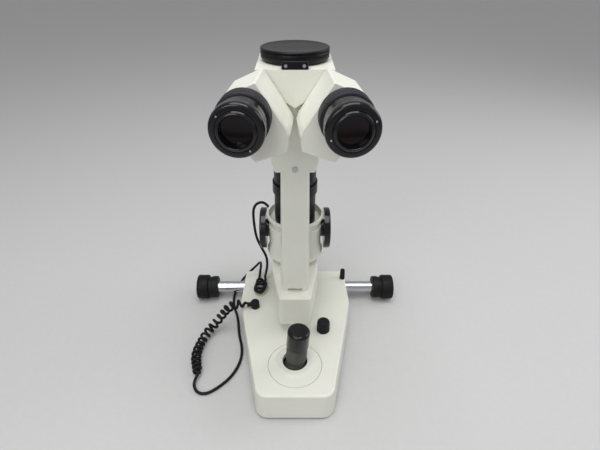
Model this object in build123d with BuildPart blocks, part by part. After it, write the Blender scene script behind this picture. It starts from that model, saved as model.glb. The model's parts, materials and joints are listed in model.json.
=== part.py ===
from build123d import *
from math import sin, cos, tan, radians, sqrt, pi
import os

os.makedirs("parts", exist_ok=True)

# Slit lamp. X is across the instrument, -Y is the operator's side, Z is up, millimetres.
# Lengths called "reach" are measured from the swing axis towards the operator.

# running clearances
fit = 0.05
seat_gap = 0.3

# floor and base
base_foot_z = 3.0
base_top_z = 42.0
base_wall = 3.0
base_draft = 2.0
base_front_reach = 255.4
base_front_half = 45.5
base_wide_reach = 99.0
base_wide_half = 80.4
base_rear_reach = 18.6
base_rear_half = 78.4
base_slope_reach = 43.4
base_rear_z = 34.0
lobe_r = 30.0

# cross axle
axle_reach = 40.0
wheel_r = 19.0
axle_r = 9.0
wheel_outer = 154.6
wheel_outer_width = 17.8
wheel_groove_width = 5.0
wheel_groove_r = 16.0
wheel_inner_width = 9.2
wheel_inner_r = 17.0
bush_inner_x = 64.0
bush_outer_x = 76.0
bush_r = 12.0

# joystick
stick_reach = 205.0
stick_lean = 4.0
ball_z = 31.0
ball_r = 15.0
plate_reach = 209.0
plate_r = 33.0
dome_r = 25.0
dome_rise = 3.0
plate_thickness = 3.2
sleeve_r = 12.75
grip_r = 13.5
sleeve_start = 18.5
sleeve_end = 41.0
grip_end = 61.0
cap_end = 67.5
gimbal_r = 20.4
gimbal_half = 3.9
gimbal_pin_r = 2.5
gimbal_pin_end = 29.0
ball_pin_r = 2.0

# knobs on the base
dimmer_x = 38.0
dimmer_reach = 152.0
dimmer_r = 8.75
dimmer_height = 16.0
brake_x = 73.6
brake_reach = 46.0
brake_r = 4.0
brake_height = 17.5

# column and lift
guide_r = 20.0
guide_top_z = 58.0
spindle_r = 12.0
spindle_bottom_z = 14.0
spindle_bore_depth = 66.0
collar_r = 18.0
collar_height = 9.0
screw_r = 5.0
screw_top_z = 67.0
pulley_z = 6.0
pulley_height = 3.6
pulley_r = 14.0
belt_thickness = 1.2
drive_reach = 205.0
rod_socket_r = 4.0
rod_socket_depth = 20.0
cap_height = 8.0
cap_r = 16.0

# microscope arm
arm_bottom_z = 68.0
block_bottom_z = 60.0
arm_top_z = 106.2
arm_front_reach = 159.0
arm_front_half = 20.0
arm_mid_half = 31.0
arm_hub_r = 34.0
block_rear_reach = 115.0

# pillar and bracket
pillar_rear_reach = 122.0
pillar_front_reach = 146.0
pillar_front_low = 14.5
pillar_rear_low = 19.0
pillar_front_high = 13.0
pillar_rear_high = 16.0
pillar_top_z = 276.0
bracket_half_low = 21.5
bracket_half_high = 25.0
bracket_rear_reach = 117.0
bracket_front_reach = 151.0
bracket_shoulder = 11.0

# microscope head
head_bottom_z = 318.0
head_top_z = 379.0
head_half = 35.0
head_rear_reach = 95.0
head_face_reach = 167.0
plate_nose_reach = 173.0
toe_angle = 4.0
vee_z = 351.0
vee_slope = 0.603
optic_x = 12.0
optic_z = 341.0
turret_reach = 130.0
turret_cavity_r = 29.0
turret_r = 28.0
turret_low_z = 329.0
turret_high_z = 353.0
cover_height = 5.0
drum_r = 32.5
drum_height = 11.7
turret_shaft_r = 5.0
index_half = 11.85
index_reach = 163.0
index_height = 6.8

# prism housings and eyepieces, measured along the tilted optical axis
housing_gap = 0.8
housing_depth = 46.0
housing_wall = 3.0
boss_r = 10.5
boss_length = 9.0
eye_out = 25.0
eye_up = 18.5
eye_tube_r = 16.0
ring_r = 22.4
ring_length = 14.6
cup_r = 21.5
cup_length = 22.0
rim_r = 3.0
lens_r = 13.0
cup_recess_depth = 9.0

# illumination arm and tower
light_reach = 65.0
light_arm_low_z = 107.0
light_arm_high_z = 118.0
light_hub_r = 28.0
light_arm_half = 22.0
lip_low_r = 30.0
lip_high_r = 39.0
lip_z = 114.0
lamp_half_x = 35.0
lamp_half_y = 31.0
lamp_corner = 20.0
lamp_wall = 3.0
lamp_top_z = 162.0
collar_low_r = 34.6
collar_high_r = 38.5
collar_flare_z = 172.0
collar_top_z = 175.0
tube_r = 27.0
ring_low_z = 209.0
aperture_height = 14.0
aperture_r = 29.0
tube_top_z = 262.0
cone_top_z = 290.0
cone_top_r = 15.0
prism_half_x = 11.0
prism_half_y = 14.0
prism_top_z = 358.0
slit_z = 150.0
slit_shaft_r = 4.0
knob_r = 28.0
knob_inner_x = 39.2
knob_outer_x = 47.5
knob_hub_r = 12.0
knob_hub_x = 35.4

# lead
lead_r = 2.0
curl_r = 7.5
plug_x = -57.0
plug_reach = 109.0
plug_r = 6.0
plug_height = 11.5

# The swing axis is placed so that the origin lies midway between the eyecups and the arm's hub.
toe = radians(toe_angle)
head_axis_reach = 170.0
plate_depth = optic_x * -sin(toe) + (plate_nose_reach - head_axis_reach) * cos(toe)
housing_start = plate_depth + housing_gap
housing_end = housing_start + housing_depth
ring_start = housing_end + seat_gap
ring_end = ring_start + ring_length
cup_end = ring_end + cup_length
rim_centre = cup_end + 0.5
front_reach = head_axis_reach - eye_out * sin(toe) + rim_centre * cos(toe)
front_reach = front_reach + (cup_r - rim_r) * sin(toe) + rim_r
pivot_y = (front_reach - arm_hub_r) / 2
axle_y = pivot_y - axle_reach
light_y = pivot_y - light_reach
print("pivot_y", pivot_y, "front_reach", front_reach, "housing_start", housing_start)


def y_at(reach):
    return pivot_y - reach


def mirrored(points):
    # closes a half outline by its mirror image about X = 0
    return points + [(-x, y) for x, y in reversed(points)]


base_plan_points = mirrored([
    (base_front_half, y_at(base_front_reach)),
    (base_wide_half, y_at(base_wide_reach)),
    (base_rear_half, y_at(base_rear_reach)),
])
base_height = base_top_z - base_foot_z

# base cover: wedge-shaped shell with a sloped rear edge and a lobe for the column
with BuildPart() as base_cover:
    with BuildSketch(Plane.XY.offset(base_foot_z)) as base_plan:
        with BuildLine():
            Polyline(*base_plan_points, close=True)
        make_face()
        front_corners = base_plan.vertices().sort_by(Axis.Y)[:2]
        fillet(front_corners, radius=16)
        rear_corners = base_plan.vertices().sort_by(Axis.Y)[-2:]
        fillet(rear_corners, radius=6)
    extrude(amount=base_height, taper=base_draft)
    with BuildSketch(Plane.YZ) as rear_slope:
        with BuildLine():
            Polyline(
                (y_at(base_slope_reach), base_top_z),
                (y_at(base_rear_reach + 1.4), base_rear_z),
                (y_at(0), base_rear_z),
                (y_at(0), base_top_z + 5),
                (y_at(base_slope_reach), base_top_z + 5),
                close=True,
            )
        make_face()
    extrude(amount=base_wide_half + 5, both=True, mode=Mode.SUBTRACT)
    fillet(base_cover.faces().sort_by(Axis.Z)[-1].edges(), radius=2.5)
    with BuildSketch(Plane.XY.offset(base_foot_z)):
        with Locations((0, pivot_y)):
            Circle(lobe_r)
        with Locations((0, y_at(base_rear_reach / 2 + 4))):
            Rectangle(2 * lobe_r - 2, base_rear_reach + 8)
    extrude(amount=base_rear_z - base_foot_z)
    # inside space, lower under the slope
    with BuildSketch(Plane.XY.offset(base_foot_z)) as inner_plan:
        with BuildLine():
            Polyline(*base_plan_points, close=True)
        make_face()
        offset(amount=-base_wall - 1.0, kind=Kind.INTERSECTION)
        fillet(inner_plan.vertices().sort_by(Axis.Y)[:2], radius=12)
        with Locations((0, pivot_y)):
            Circle(lobe_r - base_wall)
        with Locations((0, y_at(base_rear_reach / 2))):
            Rectangle(2 * (lobe_r - base_wall - 1), base_rear_reach + 8)
    extrude(amount=base_rear_z - base_wall - 1 - base_foot_z, mode=Mode.SUBTRACT)
    with BuildSketch(Plane.XY.offset(base_rear_z - base_wall - 1)) as inner_high:
        with BuildLine():
            Polyline(*base_plan_points, close=True)
        make_face()
        offset(amount=-base_wall - 1.8, kind=Kind.INTERSECTION)
        fillet(inner_high.vertices().sort_by(Axis.Y)[:2], radius=12)
        with Locations((0, y_at(base_slope_reach + 4 - 60))):
            Rectangle(2 * base_wide_half, 120, mode=Mode.SUBTRACT)
    extrude(amount=base_top_z - base_rear_z + 1, mode=Mode.SUBTRACT)
    # bosses: joystick well, axle bearings, knobs and column guide
    with BuildSketch(Plane.XY.offset(ball_z - 6)):
        with Locations((0, y_at(plate_reach))):
            Circle(plate_r + 4)
        with Locations((0, y_at(stick_reach))):
            Circle(24.5, mode=Mode.SUBTRACT)
    extrude(amount=base_top_z - 1 - ball_z + 6)
    with BuildSketch(Plane.XY.offset(base_foot_z + base_wall)):
        for side in (-1, 1):
            with Locations((side * (bush_inner_x + 6.1), axle_y)):
                Rectangle(12.2, 28)
    extrude(amount=base_rear_z - base_foot_z - base_wall - 3)
    with BuildSketch(Plane.XY.offset(base_top_z - 12)):
        with Locations((dimmer_x, y_at(dimmer_reach)), (brake_x - 3, y_at(brake_reach))):
            Circle(6.5)
    extrude(amount=11)
    with BuildSketch(Plane.XY.offset(base_top_z - 10)):
        with Locations((plug_x, y_at(plug_reach))):
            Circle(9)
    extrude(amount=9)
    # openings
    with BuildSketch(Plane.XY.offset(base_top_z + 1)):
        with Locations((0, y_at(plate_reach))):
            Circle(plate_r + 0.5)
    extrude(amount=-plate_thickness - 1 - seat_gap, mode=Mode.SUBTRACT)
    with BuildSketch(Plane.XY.offset(base_top_z + 1)):
        with Locations((0, y_at(stick_reach))):
            Circle(24.5)
    extrude(amount=-20, mode=Mode.SUBTRACT)
    with BuildSketch(Plane.YZ) as bearing_bores:
        with Locations((axle_y, wheel_r)):
            Circle(bush_r + fit)
    extrude(amount=bush_outer_x + 0.2, both=True, mode=Mode.SUBTRACT)
    with BuildSketch(Plane.YZ):
        with Locations((axle_y, wheel_r)):
            Circle(axle_r + 0.8)
    extrude(amount=base_wide_half + 3, both=True, mode=Mode.SUBTRACT)
    with BuildSketch(Plane.YZ):
        with Locations((stick_reach * -1 + pivot_y, ball_z)):
            Circle(gimbal_pin_r + fit)
    extrude(amount=gimbal_pin_end + 0.5, both=True, mode=Mode.SUBTRACT)
    with BuildSketch(Plane.XY.offset(base_top_z + 1)):
        with Locations((dimmer_x, y_at(dimmer_reach)), (brake_x, y_at(brake_reach))):
            Circle(2.5 + fit)
        with Locations((plug_x, y_at(plug_reach))):
            Circle(4.0)
    extrude(amount=-20, mode=Mode.SUBTRACT)
    with BuildSketch(Plane.XY.offset(base_rear_z + 1)):
        with Locations((0, pivot_y)):
            Circle(guide_r)
    extrude(amount=-12, mode=Mode.SUBTRACT)
base_cover.part.label = "base_cover"
export_step(base_cover.part, "parts/base_cover.step")

# base plate: closes the shell from below
with BuildPart() as base_plate:
    with BuildSketch(Plane.XY.offset(base_foot_z)) as plate_plan:
        with BuildLine():
            Polyline(*base_plan_points, close=True)
        make_face()
        offset(amount=-base_wall - 1.0 - seat_gap, kind=Kind.INTERSECTION)
        fillet(plate_plan.vertices().sort_by(Axis.Y)[:2], radius=12)
        with Locations((0, pivot_y)):
            Circle(lobe_r - base_wall - seat_gap)
        with Locations((0, y_at(base_rear_reach / 2))):
            Rectangle(2 * (lobe_r - base_wall - 1 - seat_gap), base_rear_reach + 8)
    extrude(amount=2.4)
    screw_spots = [(-30, y_at(236)), (30, y_at(236)), (-66, y_at(100)), (66, y_at(100))]
    with BuildSketch(Plane.XY.offset(base_foot_z)):
        with Locations(*screw_spots):
            Circle(2.1)
    extrude(amount=3, mode=Mode.SUBTRACT)
base_plate.part.label = "base_plate"
export_step(base_plate.part, "parts/base_plate.step")

# screws of the base plate
with BuildPart() as base_screws:
    with BuildSketch(Plane.XY.offset(base_foot_z - 1.2)):
        with Locations(*screw_spots):
            Circle(3.8)
    extrude(amount=1.2)
    with BuildSketch(Plane.XY.offset(base_foot_z)):
        with Locations(*screw_spots):
            Circle(2.0)
    extrude(amount=6)
base_screws.part.label = "base_screws"
export_step(base_screws.part, "parts/base_screws.step")

# glide foot: round pad on which the front of the base slides
with BuildPart() as glide_foot:
    with BuildSketch(Plane.XY):
        with Locations((0, y_at(stick_reach))):
            Circle(17)
    extrude(amount=base_foot_z)
    chamfer(glide_foot.edges().group_by(Axis.Z)[0], length=0.8)
glide_foot.part.label = "glide_foot"
export_step(glide_foot.part, "parts/glide_foot.step")

# flush round plate with a low dome around the joystick
with BuildPart() as joystick_plate:
    with BuildSketch(Plane.XY.offset(base_top_z - plate_thickness)):
        with Locations((0, y_at(plate_reach))):
            Circle(plate_r)
    extrude(amount=plate_thickness)
    with BuildSketch(Plane.XY.offset(base_top_z)):
        with Locations((0, y_at(stick_reach))):
            Circle(dome_r)
    extrude(amount=dome_rise, taper=50)
    with BuildSketch(Plane.XY.offset(base_top_z - plate_thickness)):
        with Locations((0, y_at(stick_reach))):
            Circle(ball_r + 0.5)
    extrude(amount=plate_thickness + dome_rise + 1, mode=Mode.SUBTRACT)
joystick_plate.part.label = "joystick_plate"
export_step(joystick_plate.part, "parts/joystick_plate.step")

# column guide: tube that carries the lifting spindle
with BuildPart() as column_guide:
    with BuildSketch(Plane.XY.offset(base_rear_z - 11)):
        with Locations((0, pivot_y)):
            Circle(guide_r)
    extrude(amount=guide_top_z - base_rear_z + 11)
    with BuildSketch(Plane.XY.offset(base_rear_z - 11)):
        with Locations((0, pivot_y)):
            Circle(spindle_r + fit)
    extrude(amount=guide_top_z, mode=Mode.SUBTRACT)
    chamfer(column_guide.faces().sort_by(Axis.Z)[-1].edges(), length=0.8)
column_guide.part.label = "column_guide"
export_step(column_guide.part, "parts/column_guide.step")

# lift screw with its pulley
with BuildPart() as lift_screw:
    with BuildSketch(Plane.XY.offset(pulley_z)):
        with Locations((0, pivot_y)):
            Circle(pulley_r)
    extrude(amount=pulley_height)
    with BuildSketch(Plane.XY.offset(pulley_z)):
        with Locations((0, pivot_y)):
            Circle(screw_r)
    extrude(amount=screw_top_z - pulley_z)
lift_screw.part.label = "lift_screw"
export_step(lift_screw.part, "parts/lift_screw.step")

# drive pulley under the joystick, with its socket
with BuildPart() as drive_pulley:
    with BuildSketch(Plane.XY.offset(pulley_z)):
        with Locations((0, y_at(drive_reach))):
            Circle(pulley_r)
    extrude(amount=pulley_height)
    with BuildSketch(Plane.XY.offset(pulley_z)):
        with Locations((0, y_at(drive_reach))):
            Circle(5)
    extrude(amount=8)
drive_pulley.part.label = "drive_pulley"
export_step(drive_pulley.part, "parts/drive_pulley.step")

# belt between the two pulleys
belt_inner = pulley_r + seat_gap
with BuildPart() as lift_belt:
    with BuildSketch(Plane.XY.offset(pulley_z + 0.4)):
        with Locations((0, pivot_y), (0, y_at(drive_reach))):
            Circle(belt_inner + belt_thickness)
        with Locations((0, y_at(drive_reach / 2))):
            Rectangle(2 * (belt_inner + belt_thickness), drive_reach)
        with Locations((0, pivot_y), (0, y_at(drive_reach))):
            Circle(belt_inner, mode=Mode.SUBTRACT)
        with Locations((0, y_at(drive_reach / 2))):
            Rectangle(2 * belt_inner, drive_reach, mode=Mode.SUBTRACT)
    extrude(amount=pulley_height - 0.8)
lift_belt.part.label = "lift_belt"
export_step(lift_belt.part, "parts/lift_belt.step")

# bushes that turn in the base and in which the axle slides
with BuildPart() as axle_bushes:
    for side in (-1, 1):
        with BuildSketch(Plane.YZ.offset(side * bush_inner_x)):
            with Locations((axle_y, wheel_r)):
                Circle(bush_r)
                Circle(axle_r + fit, mode=Mode.SUBTRACT)
        extrude(amount=side * (bush_outer_x - bush_inner_x))
axle_bushes.part.label = "axle_bushes"
export_step(axle_bushes.part, "parts/axle_bushes.step")

# axle rod
wheel_inner_face = wheel_outer - wheel_outer_width - wheel_groove_width - wheel_inner_width
with BuildPart() as axle_rod:
    with BuildSketch(Plane.YZ):
        with Locations((axle_y, wheel_r)):
            Circle(axle_r)
    extrude(amount=wheel_outer - 6, both=True)
axle_rod.part.label = "axle_rod"
export_step(axle_rod.part, "parts/axle_rod.step")

# wheels: broad outer rim, groove, and a smaller inner ring
for side, wheel_name in ((-1, "left_wheel"), (1, "right_wheel")):
    groove_start = wheel_inner_face + wheel_inner_width
    rim_start = groove_start + wheel_groove_width
    with BuildPart() as wheel:
        with BuildSketch(Plane.XY) as wheel_profile:
            with BuildLine():
                Polyline(
                    (side * wheel_inner_face, axle_r),
                    (side * wheel_inner_face, wheel_inner_r),
                    (side * groove_start, wheel_inner_r),
                    (side * groove_start, wheel_groove_r),
                    (side * rim_start, wheel_groove_r),
                    (side * rim_start, wheel_r),
                    (side * wheel_outer, wheel_r),
                    (side * wheel_outer, axle_r + 5),
                    (side * (wheel_outer - 3), axle_r + 4),
                    (side * (wheel_outer - 3), 0),
                    (side * (wheel_outer - 6), 0),
                    (side * (wheel_outer - 6), axle_r),
                    close=True,
                )
            make_face()
        revolve(axis=Axis.X)
        rim_edges = wheel.edges().filter_by(GeomType.CIRCLE)
        rim_edges = rim_edges.filter_by(lambda e: abs(e.radius - wheel_r) < 0.01)
        fillet(rim_edges, radius=1.4)
        inner_edges = wheel.edges().filter_by(GeomType.CIRCLE)
        inner_edges = inner_edges.filter_by(lambda e: abs(e.radius - wheel_inner_r) < 0.01)
        chamfer(inner_edges, length=0.8)
    placed = wheel.part.moved(Location((0, axle_y, wheel_r)))
    placed.label = wheel_name
    export_step(placed, "parts/" + wheel_name + ".step")

# brake knob
with BuildPart() as brake_knob:
    with BuildSketch(Plane.XY.offset(base_top_z + seat_gap)):
        with Locations((brake_x, y_at(brake_reach))):
            Circle(brake_r)
    extrude(amount=brake_height, taper=2)
    fillet(brake_knob.faces().sort_by(Axis.Z)[-1].edges(), radius=2.2)
    with BuildSketch(Plane.XY.offset(base_top_z + seat_gap)):
        with Locations((brake_x, y_at(brake_reach))):
            Circle(2.5)
    extrude(amount=-11)
brake_knob.part.label = "brake_knob"
export_step(brake_knob.part, "parts/brake_knob.step")

# dimmer knob
with BuildPart() as dimmer_knob:
    with BuildSketch(Plane.XY.offset(base_top_z + seat_gap)):
        with Locations((dimmer_x, y_at(dimmer_reach))):
            Circle(dimmer_r)
    extrude(amount=dimmer_height, taper=1.5)
    fillet(dimmer_knob.faces().sort_by(Axis.Z)[-1].edges(), radius=3)
    with BuildSketch(Plane.XY.offset(base_top_z + seat_gap)):
        with Locations((dimmer_x, y_at(dimmer_reach))):
            Circle(2.5)
    extrude(amount=-14)
dimmer_knob.part.label = "dimmer_knob"
export_step(dimmer_knob.part, "parts/dimmer_knob.step")

# gimbal ring of the joystick, with trunnions along X and bores along Y
with BuildPart() as gimbal_ring:
    with BuildSketch(Plane.XY.offset(ball_z - gimbal_half)):
        with Locations((0, y_at(stick_reach))):
            Circle(gimbal_r)
            Circle(ball_r + 0.6, mode=Mode.SUBTRACT)
    extrude(amount=2 * gimbal_half)
    for side in (-1, 1):
        with BuildSketch(Plane.YZ.offset(side * (gimbal_r - 1.5))):
            with Locations((y_at(stick_reach), ball_z)):
                Circle(gimbal_pin_r)
        extrude(amount=side * (gimbal_pin_end - gimbal_r + 1.5))
    with BuildSketch(Plane.XZ.offset(-y_at(stick_reach))):
        with Locations((0, ball_z)):
            Circle(ball_pin_r + fit)
    extrude(amount=gimbal_r + 2, both=True, mode=Mode.SUBTRACT)
gimbal_ring.part.label = "gimbal_ring"
export_step(gimbal_ring.part, "parts/gimbal_ring.step")

# joystick: ball with cross pins, sleeve, grip and cap on a slightly leaning axis
lean = radians(stick_lean)
stick_plane = Plane(
    origin=(0, y_at(stick_reach), ball_z),
    x_dir=(cos(lean), 0, -sin(lean)),
    z_dir=(sin(lean), 0, cos(lean)),
)
with BuildPart() as joystick_ball:
    with Locations((0, y_at(stick_reach), ball_z)):
        Sphere(ball_r)
    with BuildSketch(Plane.XZ.offset(-y_at(stick_reach))):
        with Locations((0, ball_z)):
            Circle(ball_pin_r)
    extrude(amount=gimbal_r - 1, both=True)
    with BuildSketch(stick_plane.offset(ball_r - 3)):
        Circle(7.5)
    extrude(amount=sleeve_start - ball_r + 3)
joystick_ball.part.label = "joystick_ball"
export_step(joystick_ball.part, "parts/joystick_ball.step")

with BuildPart() as joystick_sleeve:
    with BuildSketch(stick_plane.offset(sleeve_start)):
        Circle(sleeve_r)
    extrude(amount=sleeve_end - sleeve_start)
    fillet(joystick_sleeve.faces().sort_by(Axis.Z)[0].edges(), radius=2)
joystick_sleeve.part.label = "joystick_sleeve"
export_step(joystick_sleeve.part, "parts/joystick_sleeve.step")

with BuildPart() as joystick_grip:
    with BuildSketch(stick_plane.offset(sleeve_end + seat_gap)):
        Circle(grip_r)
    extrude(amount=grip_end - sleeve_end - seat_gap)
    chamfer(joystick_grip.faces().sort_by(Axis.Z)[0].edges(), length=0.6)
joystick_grip.part.label = "joystick_grip"
export_step(joystick_grip.part, "parts/joystick_grip.step")

with BuildPart() as joystick_cap:
    with BuildSketch(stick_plane.offset(grip_end)):
        Circle(grip_r)
    extrude(amount=cap_end - grip_end)
    fillet(joystick_cap.faces().sort_by(Axis.Z)[-1].edges(), radius=4)
joystick_cap.part.label = "joystick_cap"
export_step(joystick_cap.part, "parts/joystick_cap.step")

# column spindle with the collar that carries both arms
spindle_top_z = light_arm_high_z + 4
collar_top = arm_bottom_z - seat_gap
with BuildPart() as column_spindle:
    with BuildSketch(Plane.XY.offset(spindle_bottom_z)):
        with Locations((0, pivot_y)):
            Circle(spindle_r)
    extrude(amount=spindle_top_z - spindle_bottom_z)
    with BuildSketch(Plane.XY.offset(collar_top - collar_height)):
        with Locations((0, pivot_y)):
            Circle(collar_r)
    extrude(amount=collar_height)
    with BuildSketch(Plane.XY.offset(spindle_bottom_z)):
        with Locations((0, pivot_y)):
            Circle(screw_r + fit)
    extrude(amount=spindle_bore_depth, mode=Mode.SUBTRACT)
    with BuildSketch(Plane.XY.offset(spindle_top_z)):
        with Locations((0, pivot_y)):
            Circle(rod_socket_r)
    extrude(amount=-rod_socket_depth + cap_height - 3, mode=Mode.SUBTRACT)
column_spindle.part.label = "column_spindle"
export_step(column_spindle.part, "parts/column_spindle.step")

with BuildPart() as column_cap:
    with BuildSketch(Plane.XY.offset(spindle_top_z)):
        with Locations((0, pivot_y)):
            Circle(cap_r)
            Circle(rod_socket_r, mode=Mode.SUBTRACT)
    extrude(amount=cap_height)
    chamfer(column_cap.faces().sort_by(Axis.Z)[-1].edges(), length=1)
column_cap.part.label = "column_cap"
export_step(column_cap.part, "parts/column_cap.step")

# microscope arm: low beam, deeper in front of the joystick side
arm_points = mirrored([
    (arm_front_half, y_at(arm_front_reach)),
    (arm_mid_half, y_at(100)),
    (arm_mid_half, y_at(65)),
    (arm_hub_r - 1, pivot_y),
])
with BuildPart() as microscope_arm:
    with BuildSketch(Plane.XY.offset(arm_bottom_z)) as arm_plan:
        with BuildLine():
            Polyline(*arm_points, close=True)
        make_face()
        fillet(arm_plan.vertices().sort_by(Axis.Y)[:2], radius=5)
        with Locations((0, pivot_y)):
            Circle(arm_hub_r)
    extrude(amount=arm_top_z - arm_bottom_z)
    with BuildSketch(Plane.XY.offset(block_bottom_z)) as block_plan:
        with BuildLine():
            Polyline(*arm_points, close=True)
        make_face()
        fillet(block_plan.vertices().sort_by(Axis.Y)[:2], radius=5)
        with Locations((0, y_at(block_rear_reach - 150))):
            Rectangle(100, 300, mode=Mode.SUBTRACT)
    extrude(amount=arm_bottom_z - block_bottom_z)
    chamfer(microscope_arm.faces().sort_by(Axis.Z)[-1].edges().sort_by(Axis.Y)[0], length=3)
    with BuildSketch(Plane.XY.offset(block_bottom_z)):
        with Locations((0, pivot_y)):
            Circle(spindle_r + fit)
    extrude(amount=60, mode=Mode.SUBTRACT)
microscope_arm.part.label = "microscope_arm"
export_step(microscope_arm.part, "parts/microscope_arm.step")

# pillar: tapering slab on the arm's front end
with BuildPart() as arm_pillar:
    with BuildSketch(Plane.XY.offset(arm_top_z)):
        with BuildLine():
            Polyline(*mirrored([
                (pillar_front_low, y_at(pillar_front_reach)),
                (pillar_front_low + 1.5, y_at(pillar_front_reach - 1.5)),
                (pillar_rear_low, y_at(pillar_rear_reach)),
            ]), close=True)
        make_face()
    with BuildSketch(Plane.XY.offset(pillar_top_z)):
        with BuildLine():
            Polyline(*mirrored([
                (pillar_front_high, y_at(pillar_front_reach)),
                (pillar_front_high + 1.5, y_at(pillar_front_reach - 1.5)),
                (pillar_rear_high, y_at(pillar_rear_reach)),
            ]), close=True)
        make_face()
    loft()
    with BuildSketch(Plane.XY.offset(arm_top_z)):
        with Locations((0, y_at(pillar_front_reach - 2))):
            Rectangle(18, 12)
    extrude(amount=4, mode=Mode.SUBTRACT)
arm_pillar.part.label = "arm_pillar"
export_step(arm_pillar.part, "parts/arm_pillar.step")

# bracket between the pillar and the microscope
bracket_mid = (bracket_rear_reach + bracket_front_reach) / 2
bracket_depth = bracket_front_reach - bracket_rear_reach
with BuildPart() as head_bracket:
    with BuildSketch(Plane.XY.offset(pillar_top_z)):
        with Locations((0, y_at(bracket_mid))):
            RectangleRounded(2 * bracket_half_low, bracket_depth, 3)
    with BuildSketch(Plane.XY.offset(pillar_top_z + bracket_shoulder)):
        with Locations((0, y_at(bracket_mid))):
            RectangleRounded(2 * bracket_half_high, bracket_depth, 3)
    loft()
    with BuildSketch(Plane.XY.offset(pillar_top_z + bracket_shoulder)):
        with Locations((0, y_at(bracket_mid))):
            RectangleRounded(2 * bracket_half_high, bracket_depth, 3)
    extrude(amount=head_bottom_z - pillar_top_z - bracket_shoulder)
head_bracket.part.label = "head_bracket"
export_step(head_bracket.part, "parts/head_bracket.step")


def optic_plane(side, depth):
    # plane across a toed-out optical axis; its normal points to the operator
    direction = (side * sin(toe), -cos(toe), 0)
    across = (cos(toe), side * sin(toe), 0)
    origin = (
        side * optic_x + depth * direction[0],
        y_at(head_axis_reach) + depth * direction[1],
        optic_z,
    )
    return Plane(origin=origin, x_dir=across, z_dir=direction)


front_plan = mirrored([
    (0.01, y_at(plate_nose_reach)),
    (head_half, y_at(plate_nose_reach - head_half * tan(toe))),
    (head_half, y_at(head_face_reach - 4)),
])

# microscope body: box with a toed front plate above a V-shaped edge
with BuildPart() as microscope_body:
    with BuildSketch(Plane.XY.offset(head_bottom_z)):
        with Locations((0, y_at((head_rear_reach + head_face_reach) / 2))):
            Rectangle(2 * head_half, head_face_reach - head_rear_reach)
    extrude(amount=head_top_z - head_bottom_z)
    with BuildSketch(Plane.XY.offset(head_bottom_z)):
        with BuildLine():
            Polyline(*front_plan, close=True)
        make_face()
    extrude(amount=head_top_z - head_bottom_z)
    with BuildSketch(Plane.XZ.offset(-y_at(head_face_reach))):
        with BuildLine():
            Polyline(
                (-head_half - 1, head_bottom_z - 1),
                (-head_half - 1, vee_z + vee_slope * (head_half + 1)),
                (0, vee_z),
                (head_half + 1, vee_z + vee_slope * (head_half + 1)),
                (head_half + 1, head_bottom_z - 1),
                close=True,
            )
        make_face()
    extrude(amount=20, mode=Mode.SUBTRACT)
    with BuildSketch(Plane.XY.offset(turret_low_z - 3)):
        with Locations((0, y_at(turret_reach))):
            Circle(turret_cavity_r)
    extrude(amount=turret_high_z - turret_low_z + 6, mode=Mode.SUBTRACT)
    with BuildSketch(Plane.XY.offset(turret_high_z)):
        with Locations((0, y_at(turret_reach))):
            Circle(turret_shaft_r + fit)
    extrude(amount=60, mode=Mode.SUBTRACT)
    with BuildSketch(Plane.XZ.offset(-y_at(head_rear_reach - 1))):
        with Locations((-optic_x, optic_z), (optic_x, optic_z)):
            Circle(10)
    extrude(amount=head_face_reach - head_rear_reach - 14, mode=Mode.SUBTRACT)
    for side in (-1, 1):
        with BuildSketch(optic_plane(side, 8)):
            Circle(boss_r + fit)
        extrude(amount=-22, mode=Mode.SUBTRACT)
microscope_body.part.label = "microscope_body"
export_step(microscope_body.part, "parts/microscope_body.step")

# top cover of the microscope body
with BuildPart() as body_top_cover:
    with BuildSketch(Plane.XY.offset(head_top_z)) as cover_plan:
        with BuildLine():
            Polyline(*mirrored([
                (0.01, y_at(plate_nose_reach)),
                (head_half, y_at(plate_nose_reach - head_half * tan(toe))),
                (head_half, y_at(head_rear_reach)),
            ]), close=True)
        make_face()
        with Locations((0, y_at(turret_reach))):
            Circle(turret_shaft_r + fit, mode=Mode.SUBTRACT)
    extrude(amount=cover_height)
body_top_cover.part.label = "body_top_cover"
export_step(body_top_cover.part, "parts/body_top_cover.step")

# objective lenses
with BuildPart() as objective_lenses:
    with BuildSketch(Plane.XZ.offset(-y_at(head_rear_reach + 2))):
        with Locations((-optic_x, optic_z), (optic_x, optic_z)):
            Circle(10)
    extrude(amount=3)
objective_lenses.part.label = "objective_lenses"
export_step(objective_lenses.part, "parts/objective_lenses.step")

# index block on the cover
with BuildPart() as index_block:
    with BuildSketch(Plane.XY.offset(head_top_z + cover_height)):
        with Locations((0, y_at(index_reach + 4.5))):
            RectangleRounded(2 * index_half, 9, 2)
    extrude(amount=index_height)
    fillet(index_block.faces().sort_by(Axis.Z)[-1].edges(), radius=0.8)
    with BuildSketch(Plane.XZ.offset(-y_at(index_reach + 7))):
        with Locations((-8, 387.2), (8, 387.2)):
            Circle(1.5)
    extrude(amount=5, mode=Mode.SUBTRACT)
index_block.part.label = "index_block"
export_step(index_block.part, "parts/index_block.step")

# screws of the index block and of the bracket
with BuildPart() as microscope_screws:
    with BuildSketch(Plane.XZ.offset(-y_at(index_reach + 7))):
        with Locations((-8, 387.2), (8, 387.2)):
            Circle(1.5)
    extrude(amount=2.4)
    with BuildSketch(Plane.XZ.offset(-y_at(bracket_front_reach))):
        with Locations((0, pillar_top_z + 3.5)):
            Circle(3)
    extrude(amount=1.2)
microscope_screws.part.label = "microscope_screws"
export_step(microscope_screws.part, "parts/microscope_screws.step")

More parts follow.
